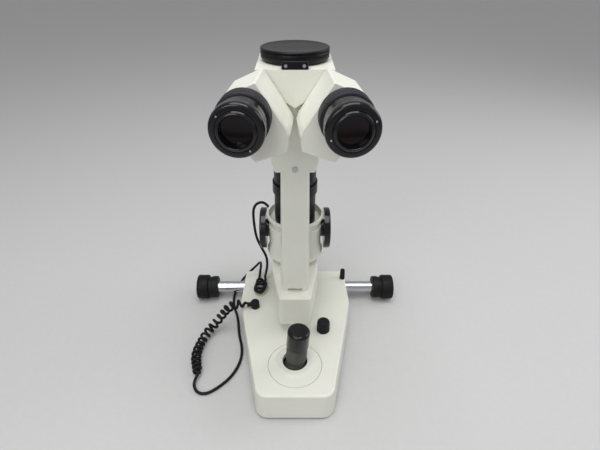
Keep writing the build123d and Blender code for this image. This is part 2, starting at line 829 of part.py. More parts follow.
# magnification drum: knob above the cover and turret inside the body
drum_low_z = head_top_z + cover_height + seat_gap
with BuildPart() as drum_knob:
    with BuildSketch(Plane.XZ) as drum_profile:
        with BuildLine():
            Polyline(
                (0, drum_low_z),
                (drum_r - 2, drum_low_z),
                (drum_r, drum_low_z + 2.5),
                (drum_r, drum_low_z + drum_height - 3.2),
                (drum_r - 0.7, drum_low_z + drum_height - 2.8),
                (drum_r - 0.7, drum_low_z + drum_height - 1.8),
                (drum_r - 0.3, drum_low_z + drum_height - 1.4),
                (drum_r - 1.4, drum_low_z + drum_height),
                (0, drum_low_z + drum_height),
                close=True,
            )
        make_face()
    revolve(axis=Axis.Z)
drum_placed = drum_knob.part.moved(Location((0, y_at(turret_reach), 0)))
drum_placed.label = "drum_knob"
export_step(drum_placed, "parts/drum_knob.step")

with BuildPart() as drum_turret:
    with BuildSketch(Plane.XY.offset(turret_low_z)):
        with Locations((0, y_at(turret_reach))):
            Circle(turret_r)
    extrude(amount=turret_high_z - turret_low_z)
    with BuildSketch(Plane.XZ.offset(-y_at(turret_reach))):
        with Locations((-optic_x, optic_z), (optic_x, optic_z)):
            Circle(8.5)
    extrude(amount=turret_r + 1, both=True, mode=Mode.SUBTRACT)
    with BuildSketch(Plane.XY.offset(turret_high_z)):
        with Locations((0, y_at(turret_reach))):
            Circle(turret_shaft_r)
    extrude(amount=drum_low_z - turret_high_z)
drum_turret.part.label = "drum_turret"
export_step(drum_turret.part, "parts/drum_turret.step")

# prism housings with prisms, eyepieces and eyecups, left and right
housing_out = [(42, 33), (15.2, 45), (-8.9, 7.2), (-11.3, 1.5), (-9.5, -13), (19, -23.5), (24, -17.6)]
prism_out = [(-7.5, -7.5), (7.5, -10), (34, 18), (30, 30), (16, 30)]
for side, side_name in ((-1, "left_"), (1, "right_")):
    with BuildPart() as prism_housing:
        with BuildSketch(optic_plane(side, housing_start)) as housing_plan:
            with BuildLine():
                Polyline(*[(side * a, b) for a, b in housing_out], close=True)
            make_face()
            fillet(housing_plan.vertices(), radius=1.8)
        extrude(amount=housing_depth)
        chamfer(prism_housing.faces().sort_by(Axis.Y)[0].edges(), length=1.2)
        with BuildSketch(optic_plane(side, housing_start)):
            Circle(boss_r)
        extrude(amount=-boss_length)
        with BuildSketch(optic_plane(side, housing_start + housing_wall)) as space_plan:
            with BuildLine():
                Polyline(*[(side * a, b) for a, b in housing_out], close=True)
            make_face()
            offset(amount=-2.5, kind=Kind.INTERSECTION)
        extrude(amount=housing_depth - 2 * housing_wall, mode=Mode.SUBTRACT)
        with BuildSketch(optic_plane(side, housing_start - boss_length)):
            Circle(7)
        extrude(amount=boss_length + housing_wall, mode=Mode.SUBTRACT)
        with BuildSketch(optic_plane(side, housing_end)):
            with Locations((side * eye_out, eye_up)):
                Circle(9.5)
        extrude(amount=-housing_wall, mode=Mode.SUBTRACT)
    prism_housing.part.label = side_name + "prism_housing"
    export_step(prism_housing.part, "parts/" + side_name + "prism_housing.step")

    with BuildPart() as prism:
        with BuildSketch(optic_plane(side, housing_start + housing_wall)):
            with BuildLine():
                Polyline(*[(side * a, b) for a, b in prism_out], close=True)
            make_face()
        extrude(amount=26)
    prism.part.label = side_name + "prism"
    export_step(prism.part, "parts/" + side_name + "prism.step")

    with BuildPart() as eyepiece_tube:
        with BuildSketch(optic_plane(side, housing_end)):
            with Locations((side * eye_out, eye_up)):
                Circle(eye_tube_r)
                Circle(eye_tube_r - 4, mode=Mode.SUBTRACT)
        extrude(amount=ring_length + 6)
    eyepiece_tube.part.label = side_name + "eyepiece_tube"
    export_step(eyepiece_tube.part, "parts/" + side_name + "eyepiece_tube.step")

    with BuildPart() as dioptre_ring:
        with BuildSketch(optic_plane(side, ring_start)):
            with Locations((side * eye_out, eye_up)):
                Circle(ring_r)
        extrude(amount=ring_length)
        chamfer(dioptre_ring.faces().sort_by(Axis.Y)[-1].edges(), length=1)
        with BuildSketch(optic_plane(side, ring_start)):
            with Locations((side * eye_out, eye_up)):
                Circle(eye_tube_r + fit)
        extrude(amount=ring_length, mode=Mode.SUBTRACT)
    dioptre_ring.part.label = side_name + "dioptre_ring"
    export_step(dioptre_ring.part, "parts/" + side_name + "dioptre_ring.step")

    with BuildPart() as eyecup:
        with BuildSketch(optic_plane(side, ring_end)):
            with Locations((side * eye_out, eye_up)):
                Circle(cup_r)
        extrude(amount=rim_centre + rim_r - ring_end)
        fillet(eyecup.faces().sort_by(Axis.Y)[0].edges(), radius=rim_r - 0.01)
        with BuildSketch(optic_plane(side, rim_centre + rim_r)):
            with Locations((side * eye_out, eye_up)):
                Circle(cup_r - 2 * rim_r + 2.5)
        extrude(amount=-cup_recess_depth, taper=25, mode=Mode.SUBTRACT)
        with BuildSketch(optic_plane(side, ring_end)):
            with Locations((side * eye_out, eye_up)):
                Circle(eye_tube_r + fit)
        extrude(amount=9, mode=Mode.SUBTRACT)
        with BuildSketch(optic_plane(side, ring_end)):
            with Locations((side * eye_out, eye_up)):
                Circle(lens_r)
        extrude(amount=30, mode=Mode.SUBTRACT)
    eyecup.part.label = side_name + "eyecup"
    export_step(eyecup.part, "parts/" + side_name + "eyecup.step")

    lens_back = rim_centre + rim_r - cup_recess_depth - 4
    with BuildPart() as eye_lens:
        with BuildSketch(optic_plane(side, lens_back)):
            with Locations((side * eye_out, eye_up)):
                Circle(lens_r)
        extrude(amount=4)
    eye_lens.part.label = side_name + "eye_lens"
    export_step(eye_lens.part, "parts/" + side_name + "eye_lens.step")

# illumination arm: hub on the column and round seat of the tower
with BuildPart() as illumination_arm:
    with BuildSketch(Plane.XY.offset(light_arm_low_z)):
        with Locations((0, pivot_y)):
            Circle(light_hub_r)
        with Locations((0, y_at(light_reach / 2))):
            Rectangle(2 * light_arm_half, light_reach)
    extrude(amount=light_arm_high_z - light_arm_low_z)
    with BuildSketch(Plane.XY.offset(light_arm_low_z)):
        with Locations((0, light_y)):
            Circle(lip_low_r)
    with BuildSketch(Plane.XY.offset(lip_z)):
        with Locations((0, light_y)):
            Circle(lip_high_r)
    loft()
    with BuildSketch(Plane.XY.offset(lip_z)):
        with Locations((0, light_y)):
            Circle(lip_high_r)
    extrude(amount=light_arm_high_z - lip_z)
    fillet(illumination_arm.faces().sort_by(Axis.Z)[-1].edges().sort_by(Axis.Y)[0], radius=1)
    with BuildSketch(Plane.XY.offset(light_arm_low_z)):
        with Locations((0, pivot_y)):
            Circle(spindle_r + fit)
    extrude(amount=20, mode=Mode.SUBTRACT)
illumination_arm.part.label = "illumination_arm"
export_step(illumination_arm.part, "parts/illumination_arm.step")

# lamp housing: hollow rounded block with a flaring open collar
gland_foot = (-29.0, axle_y + 0.2, 152.0)
gland_dir = (-0.535, 0.442, 0.72)
gland_plane = Plane(origin=gland_foot, z_dir=gland_dir)
with BuildPart() as lamp_housing:
    with BuildSketch(Plane.XY.offset(light_arm_high_z)):
        with Locations((0, light_y)):
            RectangleRounded(2 * lamp_half_x, 2 * lamp_half_y, lamp_corner)
    extrude(amount=lamp_top_z - light_arm_high_z)
    with BuildSketch(Plane.XY.offset(lamp_top_z)):
        with Locations((0, light_y)):
            Circle(collar_low_r)
    with BuildSketch(Plane.XY.offset(collar_flare_z)):
        with Locations((0, light_y)):
            Circle(collar_high_r)
    loft()
    with BuildSketch(Plane.XY.offset(collar_flare_z)):
        with Locations((0, light_y)):
            Circle(collar_high_r)
    extrude(amount=collar_top_z - collar_flare_z)
    with BuildSketch(Plane.XY.offset(light_arm_high_z + 3)):
        with Locations((0, light_y)):
            RectangleRounded(
                2 * (lamp_half_x - lamp_wall), 2 * (lamp_half_y - lamp_wall), lamp_corner - lamp_wall
            )
    extrude(amount=lamp_top_z - light_arm_high_z - 6, mode=Mode.SUBTRACT)
    with BuildSketch(Plane.XY.offset(collar_top_z)):
        with Locations((0, light_y)):
            Circle(collar_high_r - 3)
    extrude(amount=lamp_top_z + 3 - collar_top_z, mode=Mode.SUBTRACT)
    with BuildSketch(Plane.XY.offset(lamp_top_z + 3)):
        with Locations((0, light_y)):
            Circle(16)
    extrude(amount=-8, mode=Mode.SUBTRACT)
    with BuildSketch(Plane.YZ):
        with Locations((light_y, slit_z)):
            Circle(slit_shaft_r + fit)
    extrude(amount=lamp_half_x + 2, both=True, mode=Mode.SUBTRACT)
    with BuildSketch(gland_plane.offset(12)):
        Circle(3.5)
    extrude(amount=-22, mode=Mode.SUBTRACT)
lamp_housing.part.label = "lamp_housing"
export_step(lamp_housing.part, "parts/lamp_housing.step")

# gland of the lead in the lamp housing
gland_length = 13.0
with BuildPart() as lead_gland:
    with BuildSketch(gland_plane.offset(-5)):
        Circle(3.5)
    extrude(amount=gland_length + 5)
    chamfer(lead_gland.faces().sort_by(Axis.Z)[-1].edges(), length=0.8)
lead_gland.part.label = "lead_gland"
export_step(lead_gland.part, "parts/lead_gland.step")
gland_mouth = [gland_foot[i] + gland_dir[i] * (gland_length + 0.7) for i in range(3)]

# lamp bulb on its socket
with BuildPart() as lamp_bulb:
    with BuildSketch(Plane.XY.offset(light_arm_high_z + 3)):
        with Locations((0, light_y)):
            Circle(9)
    extrude(amount=8)
    with Locations((0, light_y, light_arm_high_z + 17)):
        Sphere(7.5)
lamp_bulb.part.label = "lamp_bulb"
export_step(lamp_bulb.part, "parts/lamp_bulb.step")

# slit shaft and the two slit knobs
with BuildPart() as slit_shaft:
    with BuildSketch(Plane.YZ):
        with Locations((light_y, slit_z)):
            Circle(slit_shaft_r)
    extrude(amount=knob_outer_x - 4, both=True)
slit_shaft.part.label = "slit_shaft"
export_step(slit_shaft.part, "parts/slit_shaft.step")

with BuildPart() as slit_knobs:
    for side in (-1, 1):
        with BuildSketch(Plane.YZ.offset(side * knob_inner_x)):
            with Locations((light_y, slit_z)):
                Circle(knob_r)
        extrude(amount=side * (knob_outer_x - knob_inner_x))
        with BuildSketch(Plane.YZ.offset(side * knob_hub_x)):
            with Locations((light_y, slit_z)):
                Circle(knob_hub_r)
        extrude(amount=side * (knob_inner_x - knob_hub_x))
    outer_rims = slit_knobs.edges().filter_by(GeomType.CIRCLE)
    outer_rims = outer_rims.filter_by(lambda e: abs(e.radius - knob_r) < 0.01)
    outer_rims = outer_rims.sort_by(Axis.X)
    fillet([outer_rims[0], outer_rims[-1]], radius=2.5)
    with BuildSketch(Plane.YZ):
        with Locations((light_y, slit_z)):
            Circle(slit_shaft_r)
    extrude(amount=knob_outer_x - 4, both=True, mode=Mode.SUBTRACT)
slit_knobs.part.label = "slit_knobs"
export_step(slit_knobs.part, "parts/slit_knobs.step")

# lens tube of the tower
seat_z = lamp_top_z + 3
with BuildPart() as lens_tube:
    with BuildSketch(Plane.XY.offset(seat_z)):
        with Locations((0, light_y)):
            Circle(tube_r)
    extrude(amount=ring_low_z - seat_z)
    with BuildSketch(Plane.XY.offset(ring_low_z)):
        with Locations((0, light_y)):
            Circle(tube_r - 3)
    extrude(amount=aperture_height + 0.6)
    with BuildSketch(Plane.XY.offset(ring_low_z + aperture_height + 0.6)):
        with Locations((0, light_y)):
            Circle(tube_r)
    extrude(amount=tube_top_z - ring_low_z - aperture_height - 0.6)
    with BuildSketch(Plane.XY.offset(tube_top_z)):
        with Locations((0, light_y)):
            Circle(tube_r)
    with BuildSketch(Plane.XY.offset(cone_top_z)):
        with Locations((0, light_y)):
            Circle(cone_top_r)
    loft()
    with BuildSketch(Plane.XY.offset(seat_z)):
        with Locations((0, light_y)):
            Circle(10)
    extrude(amount=cone_top_z - seat_z, mode=Mode.SUBTRACT)
lens_tube.part.label = "lens_tube"
export_step(lens_tube.part, "parts/lens_tube.step")

with BuildPart() as aperture_ring:
    with BuildSketch(Plane.XY.offset(ring_low_z + 0.3)):
        with Locations((0, light_y)):
            Circle(aperture_r)
            Circle(tube_r - 3 + fit, mode=Mode.SUBTRACT)
    extrude(amount=aperture_height)
aperture_ring.part.label = "aperture_ring"
export_step(aperture_ring.part, "parts/aperture_ring.step")

# prism head at the tower's top, with a window towards the patient
with BuildPart() as prism_head:
    with BuildSketch(Plane.XY.offset(cone_top_z)):
        with Locations((0, light_y)):
            Rectangle(2 * prism_half_x, 2 * prism_half_y)
    extrude(amount=prism_top_z - cone_top_z)
    with BuildSketch(Plane.XY.offset(cone_top_z)):
        with Locations((0, light_y)):
            Circle(8)
    extrude(amount=optic_z - cone_top_z, mode=Mode.SUBTRACT)
    with BuildSketch(Plane.XZ.offset(-light_y)):
        with Locations((0, optic_z)):
            Rectangle(16, 24)
    extrude(amount=-prism_half_y - 1, mode=Mode.SUBTRACT)
prism_head.part.label = "prism_head"
export_step(prism_head.part, "parts/prism_head.step")

with BuildPart() as prism_mirror:
    with BuildSketch(Plane.YZ):
        with BuildLine():
            Polyline(
                (light_y, optic_z - 12),
                (light_y, optic_z + 12),
                (light_y + 13, optic_z + 12),
                close=True,
            )
        make_face()
    extrude(amount=7.9, both=True)
prism_mirror.part.label = "prism_mirror"
export_step(prism_mirror.part, "parts/prism_mirror.step")


# lead: straight runs joined by tangent arcs
def length_of(a, b):
    return sqrt(sum((b[i] - a[i]) ** 2 for i in range(3)))


def corner_radii(points):
    radii = []
    for a, b, c in zip(points, points[1:], points[2:]):
        before = length_of(a, b)
        after = length_of(b, c)
        dot = sum((b[i] - a[i]) * (c[i] - b[i]) for i in range(3)) / (before * after)
        half_tan = sqrt((1 - dot) / (1 + dot))
        radii.append(0.45 * min(before, after) / half_tan)
    return radii


def on_floor_frame(points):
    # route points are written with Y measured from the axle
    return [(x, y + axle_y, z) for x, y, z in points]


lead_routes = {
    "lead_coil": (curl_r, on_floor_frame([
        (-68.5, -71.2, 50.6), (-83.5, -73.5, 51.8), (-96, -71.5, 43), (-106, -72.5, 28),
        (-118, -77.5, 14), (-128, -89, 8.2), (-133.5, -108, 8), (-135.5, -127, 8),
        (-131, -145, 8), (-126.5, -157, 8),
    ])),
    "lead_tail": (lead_r, on_floor_frame([
        (-127, -159, 7.3), (-131.5, -168.5, 3), (-125, -180.5, 2.2), (-112.5, -183.5, 2.2),
        (-97, -172.5, 2.2), (-83, -156.5, 2.2), (-74, -134, 2.2), (-74, -110, 2.2),
        (-82, -84, 2.2), (-87, -50, 2.2), (-97, -26, 2.2), (-99, 0, 2.2), (-94, 24, 2.4),
        (-83, 42, 8), (-66, 46, 24), (-57, 36, 42), (-54, 16, 51.5), (-54.5, 1, 50),
        (-55, -14, 49),
    ])),
    "lead_riser": (lead_r, on_floor_frame([
        (-46, -14, 52), (-44.5, -3, 52.5), (-43, 5, 61), (-44, 6, 76), (-50.5, 3, 94),
        (-57.5, 0, 116), (-59.5, -1, 144), (-59.5, 1, 164.5), (-53.5, 6, 171.5),
        (-42.5, 9.5, 170.5),
    ]) + [tuple(gland_mouth)]),
}
for cord_name, (radius, points) in lead_routes.items():
    radii = corner_radii(points)
    print(cord_name, "radii", [round(r, 1) for r in radii])
    with BuildPart() as cord:
        with BuildLine() as route:
            FilletPolyline(*points, radius=radii)
        with BuildSketch(Plane(origin=points[0], z_dir=route.line % 0)):
            Circle(radius)
        sweep()
    route_length = sum(edge.length for edge in route.edges())
    expected = pi * radius ** 2 * route_length
    print(cord_name, "length", round(route_length, 1))
    print(cord_name, "volume", round(cord.part.volume), "expected", round(expected))
    cord.part.label = cord_name
    export_step(cord.part, "parts/" + cord_name + ".step")

# plug of the lead, with its boot towards the curly length
plug_y = y_at(plug_reach)
with BuildPart() as lead_plug:
    with BuildSketch(Plane.XY.offset(base_top_z + seat_gap)):
        with Locations((plug_x, plug_y)):
            Circle(plug_r)
    extrude(amount=plug_height)
    fillet(lead_plug.faces().sort_by(Axis.Z)[-1].edges(), radius=3)
    with BuildSketch(Plane.XY.offset(base_top_z + seat_gap)):
        with Locations((plug_x, plug_y)):
            Circle(3.5)
    extrude(amount=-8)
    boot_dir = (-0.98, -0.19, 0.0)
    with BuildSketch(Plane(origin=(plug_x, plug_y, 50.2 - 2), z_dir=boot_dir)):
        Circle(3.2)
    extrude(amount=11.5)
lead_plug.part.label = "lead_plug"
export_step(lead_plug.part, "parts/lead_plug.step")

# bundled part of the lead, lying on the base
with BuildPart() as lead_bundle:
    with BuildSketch(Plane.XY.offset(base_top_z + seat_gap)):
        with Locations((-52, axle_y - 32.5)):
            RectangleRounded(26, 36, 9)
    extrude(amount=14.5)
    fillet(lead_bundle.faces().sort_by(Axis.Z)[-1].edges(), radius=5)
lead_bundle.part.label = "lead_bundle"
export_step(lead_bundle.part, "parts/lead_bundle.step")
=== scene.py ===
import json
from math import atan2, cos, hypot, radians, sin, tau

import bpy
from bpy.props import FloatProperty, FloatVectorProperty, IntProperty, PointerProperty
from mathutils import Matrix, Vector


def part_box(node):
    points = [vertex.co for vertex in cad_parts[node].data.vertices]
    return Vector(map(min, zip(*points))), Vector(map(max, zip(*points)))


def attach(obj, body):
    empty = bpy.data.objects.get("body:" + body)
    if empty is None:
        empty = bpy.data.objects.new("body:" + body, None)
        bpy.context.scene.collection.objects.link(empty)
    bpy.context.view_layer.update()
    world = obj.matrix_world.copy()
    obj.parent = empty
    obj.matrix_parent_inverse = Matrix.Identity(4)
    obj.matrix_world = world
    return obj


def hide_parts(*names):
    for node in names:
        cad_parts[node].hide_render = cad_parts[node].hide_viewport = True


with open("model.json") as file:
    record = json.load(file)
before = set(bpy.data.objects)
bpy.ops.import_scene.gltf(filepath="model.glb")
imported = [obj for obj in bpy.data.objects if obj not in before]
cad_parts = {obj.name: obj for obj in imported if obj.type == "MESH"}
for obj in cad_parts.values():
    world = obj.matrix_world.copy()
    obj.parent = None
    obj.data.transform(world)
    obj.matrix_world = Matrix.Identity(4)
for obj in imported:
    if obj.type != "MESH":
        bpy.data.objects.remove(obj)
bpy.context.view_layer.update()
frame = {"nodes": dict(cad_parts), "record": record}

bl_info = {
    "name": "Slit lamp",
    "version": (1, 0, 0),
    "blender": (4, 5, 0),
    "location": "View3D > Sidebar > Slit lamp",
    "description": "Finishes, cords and turned details of a slit lamp around its CAD frame",
    "category": "Object",
}

NODES = frame["nodes"]
MM = 0.001


def middle(node):
    """The middle of a CAD piece's box, in metres."""
    low, high = (Vector(corner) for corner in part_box(node))
    return (low + high) / 2


AXLE = middle("axle_rod")
DRUM = middle("drum_knob")

# the head's optics: each prism housing turns about its own axis, and its eyepiece lies outwards
# and upwards of that axis
TOE = radians(4)
OPTIC_HALF = 12 * MM
OPTIC_Z = 341 * MM
HEAD_AXIS_Y = AXLE.y - 130 * MM
EYE_OUT = 25 * MM
EYE_UP = 18.5 * MM


# ---------------------------------------------------------------- sizes and colours


class SlitLampSizes(bpy.types.PropertyGroup):
    """Sizes of the detail pieces that a user would change"""

    lead_diameter: FloatProperty(
        name="Lead diameter", description="Outer diameter of the black lead",
        default=3.8 * MM, unit="LENGTH",
    )
    curl_diameter: FloatProperty(
        name="Curl diameter", description="Outer diameter of the curly length of the lead",
        default=14.6 * MM, unit="LENGTH",
    )
    curl_turns: IntProperty(
        name="Turns", description="Turns of the curly length", default=18, min=6, max=40,
    )
    knurl_count: IntProperty(
        name="Knurls", description="Ribs around each dioptre ring", default=72, min=24, max=160,
    )


class SlitLampColours(bpy.types.PropertyGroup):
    """Colours of the finishes"""

    enamel: FloatVectorProperty(
        name="Enamel", description="Off-white enamel of the castings",
        subtype="COLOR", size=3, min=0, max=1, default=(0.76, 0.765, 0.69),
    )
    black: FloatVectorProperty(
        name="Black", description="Black enamel and plastic",
        subtype="COLOR", size=3, min=0, max=1, default=(0.004, 0.004, 0.0055),
    )
    rubber: FloatVectorProperty(
        name="Rubber", description="Black rubber and lead sheath",
        subtype="COLOR", size=3, min=0, max=1, default=(0.006, 0.006, 0.007),
    )
    knurled: FloatVectorProperty(
        name="Dioptre ring", description="Dark grey of the knurled dioptre rings",
        subtype="COLOR", size=3, min=0, max=1, default=(0.02, 0.019, 0.025),
    )
    floor: FloatVectorProperty(
        name="Floor", description="Pale floor", subtype="COLOR", size=3, min=0, max=1,
        default=(0.56, 0.56, 0.56),
    )


# ---------------------------------------------------------------- finishes


def new_finish(name):
    """An empty material with a shader and its output, and the texture coordinate it reads."""
    material = bpy.data.materials.new(name)
    material.use_nodes = True
    tree = material.node_tree
    tree.nodes.clear()
    output = tree.nodes.new("ShaderNodeOutputMaterial")
    shader = tree.nodes.new("ShaderNodeBsdfPrincipled")
    tree.links.new(shader.outputs["BSDF"], output.inputs["Surface"])
    place = tree.nodes.new("ShaderNodeTexCoord")
    return material, tree, shader, place


def noise(tree, place, scale, detail, roughness=0.5):
    """A noise texture on object coordinates."""
    texture = tree.nodes.new("ShaderNodeTexNoise")
    texture.inputs["Scale"].default_value = scale
    texture.inputs["Detail"].default_value = detail
    texture.inputs["Roughness"].default_value = roughness
    tree.links.new(place.outputs["Object"], texture.inputs["Vector"])
    return texture


def vary_colour(tree, shader, factor, first, second, low=0.3, high=0.7):
    """Runs the base colour from the first to the second as the factor goes from low to high."""
    ramp = tree.nodes.new("ShaderNodeValToRGB")
    ramp.color_ramp.elements[0].position = low
    ramp.color_ramp.elements[1].position = high
    ramp.color_ramp.elements[0].color = (*first, 1)
    ramp.color_ramp.elements[1].color = (*second, 1)
    tree.links.new(factor, ramp.inputs["Fac"])
    tree.links.new(ramp.outputs["Color"], shader.inputs["Base Color"])


def vary_roughness(tree, shader, factor, low, high):
    """Spreads the roughness between two values by the factor."""
    spread = tree.nodes.new("ShaderNodeMapRange")
    spread.inputs["To Min"].default_value = low
    spread.inputs["To Max"].default_value = high
    tree.links.new(factor, spread.inputs["Value"])
    tree.links.new(spread.outputs["Result"], shader.inputs["Roughness"])


def raise_surface(tree, shader, height, distance, strength):
    """Adds a grain too fine to model, with its depth in metres."""
    bump = tree.nodes.new("ShaderNodeBump")
    bump.inputs["Strength"].default_value = strength
    bump.inputs["Distance"].default_value = distance
    tree.links.new(height, bump.inputs["Height"])
    tree.links.new(bump.outputs["Normal"], shader.inputs["Normal"])


def shade(colour, factor):
    """A lighter or darker tone of a colour."""
    return tuple(min(1, channel * factor) for channel in colour)


def enamel_finish(name, colour):
    """Sprayed enamel: fine orange peel, faint yellowing in patches, small scuffs."""
    material, tree, shader, place = new_finish(name)
    patches = noise(tree, place, 14, 4)
    vary_colour(tree, shader, patches.outputs["Fac"], shade(colour, 0.95), shade(colour, 1.02))
    scuffs = noise(tree, place, 90, 6, 0.7)
    vary_roughness(tree, shader, scuffs.outputs["Fac"], 0.32, 0.5)
    peel = noise(tree, place, 900, 2)
    raise_surface(tree, shader, peel.outputs["Fac"], 0.00008, 0.35)
    shader.inputs["Specular IOR Level"].default_value = 0.45
    return material


def black_finish(name, colour, roughness, grain=1500, depth=0.00005, coat=0.0):
    """Enamel, rubber or moulded plastic with a fine grain and slightly worn gloss."""
    material, tree, shader, place = new_finish(name)
    dust = noise(tree, place, 35, 5, 0.6)
    vary_colour(tree, shader, dust.outputs["Fac"], colour, shade(colour, 1.9), 0.45, 0.8)
    vary_roughness(tree, shader, dust.outputs["Fac"], roughness - 0.05, roughness + 0.1)
    texture = noise(tree, place, grain, 2)
    raise_surface(tree, shader, texture.outputs["Fac"], depth, 0.4)
    shader.inputs["Specular IOR Level"].default_value = 0.22
    shader.inputs["Coat Weight"].default_value = coat
    shader.inputs["Coat Roughness"].default_value = 0.12
    return material


def metal_finish(name, colour, roughness):
    """Turned or polished metal with fine tool marks."""
    material, tree, shader, place = new_finish(name)
    marks = noise(tree, place, 400, 3)
    vary_colour(tree, shader, marks.outputs["Fac"], shade(colour, 0.9), colour)
    vary_roughness(tree, shader, marks.outputs["Fac"], roughness * 0.8, roughness * 1.3)
    raise_surface(tree, shader, marks.outputs["Fac"], 0.00003, 0.25)
    shader.inputs["Metallic"].default_value = 1.0
    return material


def glass_finish(name, colour, painted_sheen):
    """Coated optical glass: dark, with the coating's coloured sheen painted into the base colour
    in patches, a painted reflection that shifts over the surface.
    """
    material, tree, shader, place = new_finish(name)
    sheen_patches = noise(tree, place, 60, 2)
    # painted reflection: the coating's coloured sheen put into the base colour
    vary_colour(tree, shader, sheen_patches.outputs["Fac"], colour, painted_sheen, 0.35, 0.65)
    vary_roughness(tree, shader, sheen_patches.outputs["Fac"], 0.02, 0.06)
    shader.inputs["IOR"].default_value = 1.45
    shader.inputs["Specular IOR Level"].default_value = 0.12
    shader.inputs["Coat Weight"].default_value = 0.3
    shader.inputs["Coat Roughness"].default_value = 0.02
    shader.inputs["Coat Tint"].default_value = (0.8, 0.45, 0.6, 1)
    return material


FINISHES = {}

FINISH_BY_SLOT = {
    "body_paint": "enamel",
    "black_paint": "satin_black",
    "black_plastic": "gloss_black",
    "dark_plastic": "matt_black",
    "grip_rubber": "gloss_black",
    "wheel_rubber": "rubber",
    "belt_rubber": "rubber",
    "lead_sheath": "rubber",
    "axle_chrome": "chrome",
    "steel": "steel",
    "alloy": "alloy",
    "bearing_brass": "brass",
    "lens_glass": "ocular_glass",
    "prism_glass": "clear_glass",
    "mirror_face": "mirror",
    "foot_plastic": "foot",
    "screw_steel": "matt_black",
}

# pieces that look different from the rest of their slot
FINISH_BY_NODE = {
    # the joystick's sleeve and ball are black plastic lightened to grey: painted reflected light
    # from the white base
    "joystick_sleeve": "sleeve_painted_bounce_grey",
    "joystick_ball": "sleeve_painted_bounce_grey",
    "gimbal_ring": "matt_black",
    "index_block": "satin_black",
    "microscope_screws": "steel",
    "slit_shaft": "gloss_black",
    "lead_gland": "rubber",
    "left_dioptre_ring": "knurled_grey",
    "right_dioptre_ring": "knurled_grey",
    "body_top_cover": "enamel",
}


class SLITLAMP_OT_finishes(bpy.types.Operator):
    """Makes every finish and gives each CAD piece its own"""

    bl_idname = "slitlamp.finishes"
    bl_label = "Finishes"

    def execute(self, context):
        colours = context.scene.slit_lamp_colours
        enamel, black, rubber = colours.enamel[:], colours.black[:], colours.rubber[:]
        FINISHES.update({
            "enamel": enamel_finish("enamel", enamel),
            "satin_black": black_finish("satin_black", black, 0.32),
            "gloss_black": black_finish(
                "gloss_black", black, 0.16, grain=600, depth=0.00002, coat=0.35
            ),
            "matt_black": black_finish("matt_black", shade(black, 1.6), 0.55),
            "rubber": black_finish("rubber", rubber, 0.5, grain=2500, depth=0.00006),
            # black lightened to a warm grey as painted reflected light thrown up from the white
            # base
            "sleeve_painted_bounce_grey": black_finish("sleeve_painted_bounce_grey", (0.06, 0.06, 0.052), 0.5),
            "knurled_grey": black_finish("knurled_grey", colours.knurled[:], 0.42),
            "chrome": metal_finish("chrome", (0.6, 0.61, 0.63), 0.14),
            "steel": metal_finish("steel", (0.5, 0.5, 0.52), 0.3),
            "alloy": metal_finish("alloy", (0.65, 0.65, 0.67), 0.35),
            "brass": metal_finish("brass", (0.7, 0.5, 0.2), 0.25),
            # the second colour of each glass is its painted sheen
            "ocular_glass": glass_finish(
                "ocular_glass", (0.002, 0.002, 0.003), (0.012, 0.004, 0.004)
            ),
            "clear_glass": glass_finish("clear_glass", (0.05, 0.06, 0.07), (0.08, 0.09, 0.1)),
            "mirror": metal_finish("mirror", (0.9, 0.9, 0.92), 0.02),
            "foot": black_finish("foot", (0.6, 0.6, 0.58), 0.5),
        })
        for part in frame["record"]["subparts"]:
            node = part["node"]
            finish = FINISHES[FINISH_BY_NODE.get(node, FINISH_BY_SLOT[part["material_slot"]])]
            slots = NODES[node].material_slots
            if not slots:
                NODES[node].data.materials.append(finish)
            for one in slots:
                one.material = finish
        return {"FINISHED"}


# ---------------------------------------------------------------- modelling helpers


def turned(name, profile, place, steps, closed=False):
    """A turned piece. The profile is (radius, height) in millimetres, from the back to the front.

    A closed profile comes back to its first point and makes a ring. An open one has a flat
    face at each end."""
    bpy.ops.object.select_all(action="DESELECT")
    radius, height = profile[0]
    bpy.ops.mesh.primitive_circle_add(
        vertices=steps, radius=radius * MM, fill_type="NOTHING" if closed else "NGON",
    )
    piece = bpy.context.object
    piece.name = piece.data.name = name
    bpy.ops.object.mode_set(mode="EDIT")
    bpy.ops.mesh.select_mode(type="EDGE" if closed else "FACE")
    bpy.ops.mesh.select_all(action="SELECT")
    bpy.ops.transform.translate(value=(0, 0, height * MM))
    for next_radius, next_height in profile[1:]:
        bpy.ops.mesh.extrude_region_move(
            TRANSFORM_OT_translate={"value": (0, 0, (next_height - height) * MM)}
        )
        grow = next_radius / radius
        bpy.ops.transform.resize(
            value=(grow, grow, 1), center_override=(0, 0, next_height * MM)
        )
        radius, height = next_radius, next_height
    bpy.ops.mesh.select_all(action="SELECT")
    bpy.ops.mesh.remove_doubles(threshold=0.000001)
    bpy.ops.mesh.normals_make_consistent(inside=False)
    bpy.ops.object.mode_set(mode="OBJECT")
    piece.matrix_world = place
    return piece


def finish_piece(piece, finish, slot, body, *replaced, angle=35):
    """Applies a piece's place, shades it, and ties it to its finish and body. The slot argument is
    not used.
    """
    bpy.ops.object.select_all(action="DESELECT")
    piece.select_set(True)
    bpy.context.view_layer.objects.active = piece
    bpy.ops.object.transform_apply(location=True, rotation=True, scale=True)
    bpy.ops.object.shade_smooth_by_angle(angle=radians(angle))
    piece.data.materials.clear()
    piece.data.materials.append(FINISHES[finish])
    if replaced:
        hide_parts(*replaced)
    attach(piece, body)


def edit_faces(piece, test):
    """Opens the piece for editing with only the faces that pass the test selected."""
    bpy.ops.object.select_all(action="DESELECT")
    piece.select_set(True)
    bpy.context.view_layer.objects.active = piece
    bpy.ops.object.mode_set(mode="EDIT")
    bpy.ops.mesh.select_mode(type="FACE")
    bpy.ops.mesh.select_all(action="DESELECT")
    bpy.ops.object.mode_set(mode="OBJECT")
    for face in piece.data.polygons:
        face.select = test(face)
    bpy.ops.object.mode_set(mode="EDIT")


